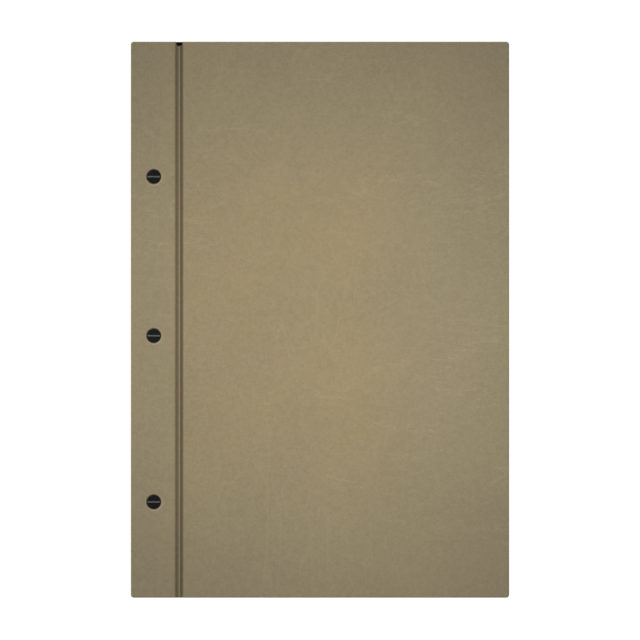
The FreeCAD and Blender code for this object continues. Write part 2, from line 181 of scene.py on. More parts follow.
def ramp(points, x):
    """Straight lines between (x, y) points in order of x."""
    if x <= points[0][0]:
        return points[0][1]
    if x >= points[-1][0]:
        return points[-1][1]
    after = bisect_right([p[0] for p in points], x)
    (x0, y0), (x1, y1) = points[after - 1], points[after]
    return y0 + (y1 - y0) * (x - x0) / (x1 - x0)


def spread(low, high, step):
    """Evenly spaced values from low to high, both included, about a step apart."""
    count = max(1, round(abs(high - low) / step))
    return [low + (high - low) * i / count for i in range(count + 1)]


def filled(values, low, high, step):
    """Sorted values from low to high, with the wide gaps between them filled in evenly."""
    marks = sorted({round(v, 7) for v in [low, high, *values] if low <= v <= high})
    made = [marks[0]]
    for a, b in zip(marks, marks[1:]):
        made += spread(a, b, step)[1:]
    return made


def finish_mesh(name, verts, faces, material, thickness=None, offset=-1.0, shade_angle=35):
    """A smooth-shaded mesh object whose vertices also carry their rest places, for the materials."""
    mesh = bpy.data.meshes.new(name)
    mesh.from_pydata([tuple(v) for v in verts], [], faces)
    work = bmesh.new()
    work.from_mesh(mesh)
    bmesh.ops.remove_doubles(work, verts=work.verts, dist=0.002 * MM)
    bmesh.ops.delete(work, geom=[v for v in work.verts if not v.link_faces], context="VERTS")
    work.to_mesh(mesh)
    work.free()
    piece = bpy.data.objects.new(name, mesh)
    bpy.context.scene.collection.objects.link(piece)
    mesh.materials.append(material)
    if thickness:
        solid = piece.modifiers.new("thickness", "SOLIDIFY")
        solid.thickness = thickness
        solid.offset = offset
        solid.use_even_offset = False
        apply_modifiers(piece)
    keep_rest(piece)
    smooth_shade(piece, shade_angle)
    return piece


def apply_modifiers(piece):
    """Replaces a piece's mesh by what its modifiers make of it."""
    graph = bpy.context.evaluated_depsgraph_get()
    graph.update()
    made = bpy.data.meshes.new_from_object(piece.evaluated_get(graph), depsgraph=graph)
    piece.modifiers.clear()
    old = piece.data
    piece.data = made
    made.name = piece.name
    bpy.data.meshes.remove(old)


def keep_rest(piece):
    """Stores where each vertex lies at rest, so that a pattern doesn't slide when the piece bends."""
    mesh = piece.data
    rest = mesh.attributes.new("rest", "FLOAT_VECTOR", "POINT")
    rest.data.foreach_set("vector", [c for v in mesh.vertices for c in v.co])


def smooth_shade(piece, angle):
    mesh = piece.data
    mesh.polygons.foreach_set("use_smooth", [True] * len(mesh.polygons))
    mesh.set_sharp_from_angle(angle=math.radians(angle))


# ---------------------------------------------------------------- materials

class Nodes:
    """Short names for the few shader nodes that the materials are made of."""

    def __init__(self, name):
        self.material = bpy.data.materials.new(name)
        self.material.use_nodes = True
        self.tree = self.material.node_tree
        self.tree.nodes.clear()
        self.shader = self.tree.nodes.new("ShaderNodeBsdfPrincipled")
        output = self.tree.nodes.new("ShaderNodeOutputMaterial")
        self.link(self.shader.outputs["BSDF"], output.inputs["Surface"])

    def link(self, source, target):
        self.tree.links.new(source, target)

    def put(self, socket, value):
        if isinstance(value, bpy.types.NodeSocket):
            self.link(value, socket)
        else:
            socket.default_value = value

    def rest(self):
        """Where each point lies at rest, for pieces that bend."""
        node = self.tree.nodes.new("ShaderNodeAttribute")
        node.attribute_name = "rest"
        return node.outputs["Vector"]

    def here(self):
        """Where each point lies on its own piece, for pieces that stay stiff."""
        return self.tree.nodes.new("ShaderNodeTexCoord").outputs["Object"]

    def stretched(self, vector, scale=(1, 1, 1), turn=0.0):
        node = self.tree.nodes.new("ShaderNodeMapping")
        self.put(node.inputs["Vector"], vector)
        node.inputs["Scale"].default_value = scale
        node.inputs["Rotation"].default_value = (0, 0, turn)
        return node.outputs["Vector"]

    def noise(self, vector, size, detail=2.0, roughness=0.5, distortion=0.0):
        """Noise whose blobs are about size metres across."""
        node = self.tree.nodes.new("ShaderNodeTexNoise")
        self.put(node.inputs["Vector"], vector)
        node.inputs["Scale"].default_value = 0.5 / size
        node.inputs["Detail"].default_value = detail
        node.inputs["Roughness"].default_value = roughness
        node.inputs["Distortion"].default_value = distortion
        return node.outputs["Fac"]

    def axes(self, vector):
        """The x and y of a vector."""
        node = self.tree.nodes.new("ShaderNodeSeparateXYZ")
        self.link(vector, node.inputs["Vector"])
        return node.outputs["X"], node.outputs["Y"]

    def away(self, value, place):
        """The distance of a value from a place."""
        return self.math("ABSOLUTE", self.math("SUBTRACT", value, place))

    def cells(self, vector, size, feature="F1"):
        node = self.tree.nodes.new("ShaderNodeTexVoronoi")
        node.feature = feature
        self.put(node.inputs["Vector"], vector)
        node.inputs["Scale"].default_value = 1 / size
        return node.outputs["Distance"]

    def math(self, operation, a, b=0.0, c=0.0):
        node = self.tree.nodes.new("ShaderNodeMath")
        node.operation = operation
        for socket, value in zip(node.inputs, (a, b, c)):
            self.put(socket, value)
        return node.outputs["Value"]

    def span(self, value, low, high, to_low=0.0, to_high=1.0, kind="LINEAR"):
        """Maps a value from low..high onto to_low..to_high, clamped."""
        node = self.tree.nodes.new("ShaderNodeMapRange")
        node.interpolation_type = kind
        self.put(node.inputs["Value"], value)
        node.inputs["From Min"].default_value = low
        node.inputs["From Max"].default_value = high
        node.inputs["To Min"].default_value = to_low
        node.inputs["To Max"].default_value = to_high
        return node.outputs["Result"]

    def mix(self, share, a, b):
        node = self.tree.nodes.new("ShaderNodeMix")
        node.data_type = "RGBA"
        self.put(node.inputs["Factor"], share)
        self.put(node.inputs["A"], a)
        self.put(node.inputs["B"], b)
        return node.outputs["Result"]

    def bump(self, height, distance, strength=1.0, under=None):
        node = self.tree.nodes.new("ShaderNodeBump")
        node.inputs["Distance"].default_value = distance
        node.inputs["Strength"].default_value = strength
        self.put(node.inputs["Height"], height)
        if under is not None:
            self.link(under, node.inputs["Normal"])
        return node.outputs["Normal"]

    def finish(self, color, roughness, normal=None, **fixed):
        self.put(self.shader.inputs["Base Color"], color)
        self.put(self.shader.inputs["Roughness"], roughness)
        if normal is not None:
            self.link(normal, self.shader.inputs["Normal"])
        for name, value in fixed.items():
            self.shader.inputs[name.replace("_", " ")].default_value = value
        return self.material


def rgb(r, g, b):
    return (r, g, b, 1.0)


def leatherette():
    """Olive-brown leatherette: fine pebble grain, soft mottling and a few faint creases.

    It is cooler towards the edges. Its hinge creases are darkened with painted shade, and a lighter ring
    round each screw's dish is a painted highlight.
    """
    n = Nodes("leatherette")
    at = n.rest()
    grain = n.cells(at, 0.75 * MM, "DISTANCE_TO_EDGE")
    valleys = n.span(grain, 0.0, 0.22, 0.0, 1.0, "SMOOTHSTEP")
    pores = n.noise(at, 0.35 * MM, detail=3.0, roughness=0.6)
    patches = n.noise(at, 34 * MM, detail=3.0, roughness=0.55)
    blotches = n.noise(at, 6 * MM, detail=3.0, roughness=0.6)
    long_way = n.stretched(at, scale=(0.22, 1.0, 1.0), turn=0.12)
    ridges = n.away(n.noise(long_way, 11 * MM, 4.0, 0.62, 0.6), 0.5)
    lines = n.span(ridges, 0.0, 0.012, 1.0, 0.0, "SMOOTHSTEP")
    where = n.span(n.noise(at, 55 * MM, 1.0), 0.46, 0.62, 0.0, 1.0, "SMOOTHSTEP")
    creases = n.math("MULTIPLY", lines, where)
    slanting = n.stretched(at, scale=(1.0, 0.2, 1.0), turn=0.45)
    off_bend = n.away(n.noise(slanting, 30 * MM, 3.0, 0.55, 0.4), 0.5)
    bends = n.span(off_bend, 0.0, 0.006, 1.0, 0.0, "SMOOTHSTEP")
    folds = n.math("MULTIPLY", bends, n.math("SUBTRACT", 1.0, where))
    specks = n.noise(at, 1.3 * MM, detail=2.5, roughness=0.7)

    x, y = n.axes(at)
    # The tone turns cooler towards the fore-edge, the binding side, the head and the tail.
    fore_edge = n.span(x, 0.02, 0.085, 0.0, 1.0, "SMOOTHSTEP")
    binding = n.span(x, HINGE_X - 14 * MM, HINGE_X + 4 * MM, 1.0, 0.0, "SMOOTHSTEP")
    ends = n.span(n.math("ABSOLUTE", y), 0.07, 0.17, 0.0, 0.9, "SMOOTHSTEP")
    towards_edges = n.math("MAXIMUM", n.math("MAXIMUM", fore_edge, binding), ends)
    # Painted shade: the leather darkens in both creases of the hinge, the one towards the fore-edge more,
    # where the groove lies in shade.
    crease_shade = []
    for off, share in ((-1.15 * MM, 0.64), (1.4 * MM, 0.74)):
        crease_shade.append(n.span(n.away(x, HINGE_X + off), 0.1 * MM, 1.65 * MM, share, 0.0, "SMOOTHSTEP"))
    # Painted highlight: a lighter ring round the rim of each screw's dish, so that the dish's wall facing the
    # key light shows bright.
    rim_highlight = 0.0
    for post in POSTS.values():
        off_x = n.math("SUBTRACT", x, post.x)
        off_y = n.math("SUBTRACT", y, post.y)
        squares = n.math("ADD", n.math("MULTIPLY", off_x, off_x), n.math("MULTIPLY", off_y, off_y))
        off_rim = n.away(n.math("SQRT", squares), DISH_RIM)
        rim_highlight = n.math("MAXIMUM", rim_highlight, n.span(off_rim, 0.1 * MM, 0.65 * MM, 0.5, 0.0, "SMOOTHSTEP"))

    warm = n.mix(n.span(patches, 0.3, 0.7), rgb(0.265, 0.213, 0.116), rgb(0.304, 0.240, 0.123))
    cool = n.mix(n.span(patches, 0.3, 0.7), rgb(0.255, 0.217, 0.132), rgb(0.285, 0.237, 0.141))
    base = n.mix(towards_edges, warm, cool)
    base = n.mix(n.span(blotches, 0.3, 0.72, 0.0, 0.48), base, rgb(0.260, 0.208, 0.136))
    base = n.mix(n.span(specks, 0.34, 0.66, 0.0, 0.38), base, rgb(0.352, 0.299, 0.184))
    base = n.mix(n.span(valleys, 0.0, 1.0, 0.3, 0.0), base, rgb(0.12, 0.098, 0.055))
    base = n.mix(n.math("MULTIPLY", creases, 0.2), base, rgb(0.4, 0.34, 0.22))
    base = n.mix(n.math("MULTIPLY", folds, 0.11), base, rgb(0.4, 0.34, 0.22))
    # painted highlight ring round each dish
    base = n.mix(rim_highlight, base, rgb(0.42, 0.36, 0.24))
    # painted shade in the hinge's creases
    base = n.mix(n.math("MAXIMUM", *crease_shade), base, rgb(0.05, 0.042, 0.026))
    roughness = n.span(blotches, 0.2, 0.8, 0.5, 0.62)
    height = n.math("ADD", valleys, n.math("MULTIPLY", pores, 0.6))
    fine = n.bump(height, 0.06 * MM, 0.8)
    normal = n.bump(creases, 0.05 * MM, 0.5, fine)
    return n.finish(base, roughness, normal, Specular_IOR_Level=0.38)


def book_cloth():
    """Black book cloth, a fine plain weave, matt, kept far darker than real cloth so that it also stands as
    painted shade in the opening at the hinge's head.
    """
    n = Nodes("hinge_cloth")
    at = n.rest()
    wave = []
    for turn in (0.0, math.pi / 2):
        node = n.tree.nodes.new("ShaderNodeTexWave")
        n.put(node.inputs["Vector"], n.stretched(at, turn=turn))
        node.inputs["Scale"].default_value = 0.5 / (0.45 * MM)
        node.inputs["Distortion"].default_value = 0.4
        wave.append(node.outputs["Fac"])
    weave = n.math("MULTIPLY", *wave)
    # Near-black: real black cloth, darkened further as painted shade for the deep opening at the head end of
    # the hinge.
    color = n.mix(n.span(weave, 0.0, 1.0), rgb(0.0035, 0.0034, 0.0032), rgb(0.0075, 0.0072, 0.0068))
    normal = n.bump(weave, 0.08 * MM, 0.6)
    return n.finish(color, 0.9, normal, Specular_IOR_Level=0.15)


def lining_paper():
    """Black lining paper with a faint fibre."""
    n = Nodes("lining_paper")
    at = n.here()
    fibres = n.noise(n.stretched(at, scale=(1.0, 0.25, 1.0)), 0.8 * MM, 4.0, 0.65)
    clouds = n.noise(at, 25 * MM, 2.0)
    color = n.mix(n.span(fibres, 0.3, 0.7), rgb(0.020, 0.019, 0.018), rgb(0.034, 0.032, 0.030))
    color = n.mix(n.span(clouds, 0.3, 0.7, 0.0, 0.3), color, rgb(0.040, 0.038, 0.035))
    return n.finish(color, 0.82, n.bump(fibres, 0.03 * MM, 0.5), Specular_IOR_Level=0.3)


def card():
    """Ivory card, uncoated: soft fibre, and each leaf a slightly different tone."""
    n = Nodes("leaf_card")
    at = n.rest()
    fibres = n.noise(at, 0.6 * MM, 5.0, 0.65)
    clouds = n.noise(at, 18 * MM, 3.0)
    by_leaf = n.noise(n.stretched(at, scale=(0.004, 0.004, 1.0)), 0.45 * MM, detail=1.0)
    color = n.mix(n.span(clouds, 0.3, 0.7), rgb(0.74, 0.70, 0.60), rgb(0.78, 0.745, 0.65))
    color = n.mix(n.span(by_leaf, 0.3, 0.7, 0.0, 0.5), color, rgb(0.60, 0.555, 0.45))
    color = n.mix(n.span(fibres, 0.35, 0.7, 0.0, 0.25), color, rgb(0.66, 0.62, 0.52))
    return n.finish(color, 0.8, n.bump(fibres, 0.03 * MM, 0.4), Specular_IOR_Level=0.3)


def greyboard():
    """Binder's board: grey pulp with darker flecks."""
    n = Nodes("greyboard")
    at = n.here()
    pulp = n.noise(at, 1.2 * MM, 5.0, 0.7)
    flecks = n.span(n.noise(at, 0.7 * MM, 2.0), 0.62, 0.7)
    color = n.mix(n.span(pulp, 0.3, 0.7), rgb(0.25, 0.24, 0.22), rgb(0.36, 0.345, 0.32))
    color = n.mix(n.math("MULTIPLY", flecks, 0.5), color, rgb(0.1, 0.095, 0.09))
    return n.finish(color, 0.9, n.bump(pulp, 0.06 * MM, 0.6))


def blackened_metal():
    """Black coated steel with a fine satin texture."""
    n = Nodes("blackened_metal")
    at = n.here()
    speckle = n.noise(at, 0.16 * MM, 3.0, 0.6)
    cloud = n.noise(at, 3 * MM, 2.0)
    color = n.mix(n.span(cloud, 0.3, 0.7), rgb(0.0030, 0.0030, 0.0034), rgb(0.006, 0.006, 0.0064))
    roughness = n.span(speckle, 0.3, 0.7, 0.30, 0.42)
    normal = n.bump(speckle, 0.012 * MM, 0.5)
    return n.finish(color, roughness, normal, Specular_IOR_Level=0.4)


def worn_metal():
    """The floor of a screwdriver slot, where a blade has rubbed the coating through. Its ends are painted
    black, painted shade where the slot runs out under the head's rounded rim.
    """
    n = Nodes("slot_metal")
    at = n.rest()
    shaded_ends = n.span(n.away(n.axes(at)[0], POST_X), 3.9 * MM, 4.3 * MM)
    streaks = n.noise(n.stretched(at, scale=(0.2, 1.0, 1.0)), 0.3 * MM, 3.0, 0.6)
    color = n.mix(n.span(streaks, 0.3, 0.7), rgb(0.078, 0.078, 0.078), rgb(0.132, 0.132, 0.13))
    # Painted shade: the slot's ends go black where the slot runs out under the rounded rim.
    color = n.mix(shaded_ends, color, rgb(0.010, 0.010, 0.0105))
    return n.finish(color, 0.5, n.bump(streaks, 0.01 * MM, 0.4))


LEATHER = leatherette()
CLOTH = book_cloth()
LINING = lining_paper()
CARD = card()
BOARD = greyboard()
BLACK_METAL = blackened_metal()
SLOT_METAL = worn_metal()


# ---------------------------------------------------------------- leatherette

def groove_depth(dx):
    """Depth of the hinge groove below the face, at dx from the hinge's middle."""
    return ramp(GROOVE, abs(dx) / MM) * MM


def skin_drop(dx):
    """From the surface down to the inside of a wrapped edge: all of the cover, or one skin in the groove."""
    in_groove = smooth((abs(dx) - HALF_CREASE_GAP) / (GROOVE_HALF - HALF_CREASE_GAP))
    thin = 0.5 * MM
    return thin + (SKIN_DROP - thin) * in_groove


def mouth_depth(dx):
    """How far the round opening at the head end of the hinge reaches in from the head edge."""
    share = abs(dx) / MOUTH_HALF
    power = 2.5
    return MOUTH_LENGTH * (1 - share ** power) ** (1 / power) if share < 1 else 0.0


def wrap_stations():
    """The way round a cover's edge: distance out, depth as a share of the whole, and share of the turn-in."""
    flat = CORNER - EDGE_ROUND
    made = [(flat * 0.5, 0.0, 0.0), (flat, 0.0, 0.0)]
    for step in range(1, 6):
        angle = math.radians(90 * step / 5)
        out = flat + EDGE_ROUND * math.sin(angle)
        made.append((out, EDGE_ROUND * (1 - math.cos(angle)) / SKIN_DROP, 0.0))
    wall_end = 1 - INNER_ROUND / SKIN_DROP
    made.append((CORNER, (made[-1][1] + wall_end) / 2, 0.0))
    for step in range(0, 4):
        angle = math.radians(90 * step / 3)
        out = CORNER - INNER_ROUND * (1 - math.cos(angle))
        made.append((out, wall_end + (1 - wall_end) * math.sin(angle), 0.0))
    edge = made[-1][0]
    return made + [(edge, 1.0, share) for share in (0.1, 0.25, 0.5, 0.75, 1.0)]


WRAP = wrap_stations()


def wrapped(col, row):
    """Where the (col, row)th station round the edges lies: offset in x and y, depth share and turn-in share.

    Concentric squares of stations become concentric arcs, so that a corner has no folded faces.
    """
    reach = max(abs(col), abs(row))
    if reach == 0:
        return 0.0, 0.0, 0.0, 0.0
    out, down, turn = WRAP[reach - 1]
    if abs(col) >= abs(row):
        angle = math.pi / 4 * abs(row) / abs(col)
    else:
        angle = math.pi / 2 - math.pi / 4 * abs(col) / abs(row)
    out_x = math.copysign(out * math.cos(angle), col)
    out_y = math.copysign(out * math.sin(angle), row)
    return out_x, out_y, down, turn


def punched(dx, dy):
    """Bends a square grid round a post so that its lines become rings. Gives the new offset and radius."""
    reach = max(abs(dx), abs(dy))
    if reach < 1e-9 or reach > PUNCH_REACH:
        return dx, dy, reach
    least = min(abs(dx), abs(dy))
    angle = math.pi / 4 * least / reach
    along = reach * math.cos(angle)
    across = reach * math.sin(angle)
    if abs(dx) < abs(dy):
        along, across = across, along
    share = 1 - smooth((reach - PUNCH_ROUND) / (PUNCH_REACH - PUNCH_ROUND))
    ring_x = math.copysign(along, dx)
    ring_y = math.copysign(across, dy)
    return dx + (ring_x - dx) * share, dy + (ring_y - dy) * share, reach


def near_post(x, y):
    """The offset from the closest post, and that post's place."""
    post = min(POSTS.values(), key=lambda p: abs(p.y - y))
    return x - post.x, y - post.y, post


def ring_offsets(marks):
    """Marks in mm, on both sides of a post."""
    return sorted({sign * mark * MM for mark in marks for sign in (-1, 1)})


def ripple(x, y):
    """Slight unevenness of a covered board, always inwards."""
    broad = noise.noise(Vector((x * 9, y * 9, 3.1)))
    close = noise.noise(Vector((x * 45, y * 45, 7.7)))
    return MM * (0.06 + 0.05 * broad + 0.02 * close)


def skin_columns(part):
    """Places across one part of a cover, each with its number of stations round the outer edge."""
    offsets = [off for off, _ in GROOVE] + BETWEEN_GROOVE_POINTS
    groove = [HINGE_X + sign * off * MM for sign in (-1, 1) for off in offsets]
    if part == "strip":
        rings = [POST_X + off for off in ring_offsets(RING_MARKS)]
        marks = rings + [x for x in groove if x < FORE_CREASE]
        face = filled(marks, cad_low.x + CORNER, FORE_CREASE, 2 * MM)
        return [(face[0], -k) for k in range(len(WRAP), 0, -1)] + [(x, 0) for x in face]
    face = filled([x for x in groove if x > FORE_CREASE], FORE_CREASE, cad_high.x - CORNER, 3 * MM)
    return [(x, 0) for x in face] + [(face[-1], k) for k in range(1, len(WRAP) + 1)]


def skin_rows():
    """Places along a cover, each with its number of stations round the head or the tail edge."""
    marks = [post.y + off for post in POSTS.values() for off in ring_offsets(RING_MARKS)]
    low = cad_low.y + CORNER
    high = cad_high.y - CORNER
    marks += [high - step * MM for step in (1, 2, 3.5, 5, 7, 9.5, 12)]
    face = filled(marks, low, high, 3 * MM)
    around = len(WRAP)
    return ([(low, -k) for k in range(around, 0, -1)] + [(y, 0) for y in face]
            + [(high, k) for k in range(1, around + 1)])


def skin_point(part, col, row):
    """One point of a cover's leatherette, on the front cover."""
    x, col_step = col
    y, row_step = row
    dx = x - HINGE_X
    dish = 0.0
    if part == "strip" and col_step == 0 and row_step == 0:
        off_x, off_y, post = near_post(x, y)
        new_x, new_y, radius = punched(off_x, off_y)
        x, y = post.x + new_x, post.y + new_y
        dish = ramp(DISH, radius / MM) * MM if radius < PUNCH_REACH else 0.0
    pull = smooth((y - (cad_high.y - CORNER - MOUTH_PULL)) / MOUTH_PULL)
    y -= mouth_depth(dx) * pull
    out_x, out_y, down, turn = wrapped(col_step, row_step)
    x, y = x + out_x, y + out_y
    if turn:
        low_x = cad_low.x + TURN_IN if part == "strip" else -1.0
        high_x = cad_high.x - TURN_IN if part == "cover" else 1.0
        x += (min(high_x, max(low_x, x)) - x) * turn
        y += (min(cad_high.y - TURN_IN, max(cad_low.y + TURN_IN, y)) - y) * turn
    sink = ripple(x, y) * (1 - down) if dish == 0.0 else ripple(x, y) * 0.5
    depth = groove_depth(dx) + dish + sink + (skin_drop(dx) - sink) * down
    return Vector((x, y, THICK - depth))


def mirrored(verts, faces):
    """The rear cover's version of a front cover mesh."""
    return [Vector((v.x, v.y, THICK - v.z)) for v in verts], [tuple(reversed(f)) for f in faces]


def grid_faces(columns, rows, skip=None):
    """Faces of a grid whose vertices go row by row within each column, apart from the ones to skip."""
    faces = []
    for i in range(columns - 1):
        for j in range(rows - 1):
            if skip is None or not skip(i, j):
                a = i * rows + j
                faces.append((a, a + rows, a + rows + 1, a + 1))
    return faces


def in_punched_hole(columns, rows, i, j):
    """Whether the face between two columns and two rows lies inside a post's hole."""
    middle_x = (columns[i][0] + columns[i + 1][0]) / 2
    middle_y = (rows[j][0] + rows[j + 1][0]) / 2
    if columns[i][1] or columns[i + 1][1] or rows[j][1] or rows[j + 1][1]:
        return False
    off_x, off_y, _ = near_post(middle_x, middle_y)
    return max(abs(off_x), abs(off_y)) < BARREL_HOLE


def skin(side, part):
    """Leatherette over the binding strip and the hinge bead, or over the cover from the second crease on."""
    columns = skin_columns(part)
    rows = skin_rows()
    verts = [skin_point(part, col, row) for col in columns for row in rows]
    skip = partial(in_punched_hole, columns, rows) if part == "strip" else None
    faces = grid_faces(len(columns), len(rows), skip)
    if side == "rear":
        verts, faces = mirrored(verts, faces)
    piece = finish_mesh(f"{side}_skin_{part}", verts, faces, LEATHER, thickness=LEATHER_THICK)
    hang(piece, side, part)
    cad = {"strip": [f"{side}_strip_skin", f"{side}_hinge_bead"], "cover": [f"{side}_panel_skin"]}
    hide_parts(*cad[part])


def hang(piece, side, part):
    """The cover's pieces ride on the cover's body and swing from the second crease. The strip's pieces stay
    fixed where they are made.
    """
    if part == "cover":
        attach(piece, f"{side}_cover")
    else:
        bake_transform(piece)


# ---------------------------------------------------------------- hinge cloth

def cloth_depth(off):
    """Depth of the hinge cloth below the outer face, at a distance off the hinge's middle."""
    under_bead = CREASE_DEPTH + 0.62 * MM
    under_board = SKIN_DROP - 0.1 * MM
    return under_bead + (under_board - under_bead) * smooth((off - HALF_CREASE_GAP) / (2.2 * MM))


def hinge_cloth(side, part):
    """Black cloth inside a hinge: under the strip and the bead, or under the cover from the second crease."""
    if part == "cover":
        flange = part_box(f"{side}_panel_cloth")[1].x
        places = filled([HINGE_X + off * MM for off in CLOTH_MARKS], HINGE_X + 0.4 * MM, flange, 4 * MM)
    else:
        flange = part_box(f"{side}_strip_cloth")[0].x
        places = filled([HINGE_X - off * MM for off in [0, *CLOTH_MARKS]], flange, FORE_CREASE, 4 * MM)
    lap = CLOTH_LAP if part == "cover" else 0.0
    low = cad_low.y + 0.5 * MM
    high = cad_high.y - 0.15 * MM
    rows = filled([low + TURN_IN, high - TURN_IN], low, high, 6 * MM)
    verts = []
    for x in places:
        off = abs(x - HINGE_X)
        inset = TURN_IN if off > GROOVE_HALF else 0.0  # under a board it stops at the turn-ins
        for y in rows:
            squeezed = min(high - inset, max(low + inset, y))
            verts.append(Vector((x, squeezed, THICK - cloth_depth(off) - lap)))
    faces = grid_faces(len(places), len(rows))
    if side == "rear":
        verts, faces = mirrored(verts, faces)
    piece = finish_mesh(f"{side}_cloth_{part}", verts, faces, CLOTH, thickness=CLOTH_THICK)
    hang(piece, side, part)
    cad = {"strip": [f"{side}_strip_cloth", f"{side}_hinge_cloth"], "cover": [f"{side}_panel_cloth"]}
    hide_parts(*cad[part])


# ---------------------------------------------------------------- leaves

def leaf_path(number):
    """The card's middle line across a leaf, from its margin's flap, round the spine fold, to the page's edge.

    Each point has its x, its height, and how free the card is to wave there.
    """
    stub_low, stub_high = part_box(f"leaf_{number:02d}_stub")
    page_low, page_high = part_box(f"leaf_{number:02d}")
    middle = (stub_low.z + stub_high.z) / 2
    lift = (page_high.z - page_low.z) / 2
    rings = [POST_X + off for off in ring_offsets(LEAF_RING_MARKS)]
    flap_end = HINGE_X - FLAP_GAP
    fold_x = stub_low.x + lift
    reach = page_high.x - FORE_EDGE_BACK + FORE_EDGE_UNEVEN * noise.noise(Vector((number * 1.7, 0.3, 0.9)))
    upper = filled(rings, fold_x, flap_end, 6 * MM)
    path = [(x, middle + lift, 0.0) for x in reversed(upper)]
    for step in range(1, 6):
        angle = math.pi * step / 6
        path.append((fold_x - lift * math.sin(angle), middle + lift * math.cos(angle), 0.0))
    path += [(x, middle - lift, 0.0) for x in upper]
    bend = [flap_end + off * MM for off in (0.5, 1.0, 1.5, 2.0, 2.6, 3.2)]
    page = filled([HINGE_X + off * MM for off in range(0, 19)], bend[-1], reach, 16 * MM)
    for x in bend + page[1:]:
        rise = smooth((x - flap_end) / (2 * MM))
        path.append((x, middle - lift * (1 - rise), smooth((x - HINGE_X - 20 * MM) / (60 * MM))))
    return path


def leaf(number):
    """One leaf of card, as one sheet from the flap of its folded margin to its fore-edge."""
    name = f"leaf_{number:02d}"
    path = leaf_path(number)
    page_low, page_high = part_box(name)
    marks = [post.y + off for post in POSTS.values() for off in ring_offsets([*LEAF_RING_MARKS, 9.5])]
    rows = filled(marks, page_low.y + 0.05 * MM, page_high.y - 0.05 * MM, 16 * MM)
    verts = []
    for x, z, free in path:
        for y in rows:
            off_x, off_y, post = near_post(x, y)
            new_x, new_y, _ = punched(off_x, off_y)
            wave = noise.noise(Vector((x * 14, y * 11, number * 5.3)))
            slow = noise.noise(Vector((x * 5, y * 4, number * 2.1)))
            verts.append(Vector((
                post.x + new_x,
                post.y + new_y,
                z + free * PAGE_WAVE * (wave + slow),
            )))
    columns = [(x, 0) for x, _, _ in path]
    row_marks = [(y, 0) for y in rows]
    faces = grid_faces(len(path), len(rows), partial(in_punched_hole, columns, row_marks))
    thickness = (page_high.z - page_low.z) * CARD_SHARE
    piece = finish_mesh(name + "_sheet", verts, faces, CARD, thickness=thickness, offset=0.0)
    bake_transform(piece)
    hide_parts(name, name + "_stub")


# ---------------------------------------------------------------- screws and posts

def lathe(name, outline, centre, segments=72):
    """A round piece with closed ends: (radius, height) points turned about an upright axis through centre."""
    work = bmesh.new()
    rings = []
    for radius, height in outline:
        if radius < 1e-9:
            rings.append([work.verts.new((centre.x, centre.y, height))])
            continue
        ring = []
        for step in range(segments):
            angle = 2 * math.pi * step / segments
            ring.append(work.verts.new((
                centre.x + radius * math.cos(angle), centre.y + radius * math.sin(angle), height)))
        rings.append(ring)
    for below, above in zip(rings, rings[1:]):
        for step in range(segments):
            after = (step + 1) % segments
            if len(below) == 1:
                work.faces.new((below[0], above[after], above[step]))
            elif len(above) == 1:
                work.faces.new((below[step], below[after], above[0]))
            else:
                work.faces.new((below[step], below[after], above[after], above[step]))
    bmesh.ops.recalc_face_normals(work, faces=work.faces)
    mesh = bpy.data.meshes.new(name)
    work.to_mesh(mesh)
    work.free()
    piece = bpy.data.objects.new(name, mesh)
    bpy.context.scene.collection.objects.link(piece)
    return piece


def arc_points(centre_r, centre_h, radius, start, end, steps):
    """(radius, height) points along an arc, from one angle to another in degrees."""
    made = []
    for step in range(steps + 1):
        angle = math.radians(start + (end - start) * step / steps)
        made.append((centre_r + radius * math.cos(angle), centre_h + radius * math.sin(angle)))
    return made


def threaded_shank(tip, under):
    """(radius, height) points up a screw's shank, from its tip to the underside of its head."""
    made = [(0.0, tip), (SHANK - 0.5 * MM, tip), (THREAD_ROOT, tip + 0.3 * MM)]
    turns = int((under - tip - 2.2 * MM) / THREAD_PITCH)
    for turn in range(turns):
        base = tip + 0.4 * MM + turn * THREAD_PITCH
        made += [(THREAD_ROOT, base), (SHANK, base + THREAD_PITCH / 2)]
    return made + [(THREAD_ROOT, under - 1.4 * MM), (SHANK, under - 1.2 * MM), (SHANK, under)]


def screw(end):
    """A slotted screw: low domed head with a rounded rim, threaded shank."""
    name = f"screw_{end}"
    low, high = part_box(name)
    centre = POSTS[end]
    head = (high.x - low.x) / 2
    under = high.z - HEAD_THICK
    outline = threaded_shank(low.z, under)
    outline += [(head - HEAD_BREAK, under), (head, under + HEAD_BREAK)]
    outline += arc_points(head - SCREW_RIM, high.z - SCREW_DOME - SCREW_RIM, SCREW_RIM, 0, 78, 5)
    reach, shoulder = outline[-1]
    for share in (0.86, 0.7, 0.5, 0.25):
        outline.append((reach * share, high.z - (high.z - shoulder) * share ** 2))
    outline.append((0.0, high.z))
    piece = lathe(name + "_turned", outline, centre)
    cut_slot(piece, centre, high.z, head)
    keep_rest(piece)
    smooth_shade(piece, 30)
    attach(piece, name)
    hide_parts(name)


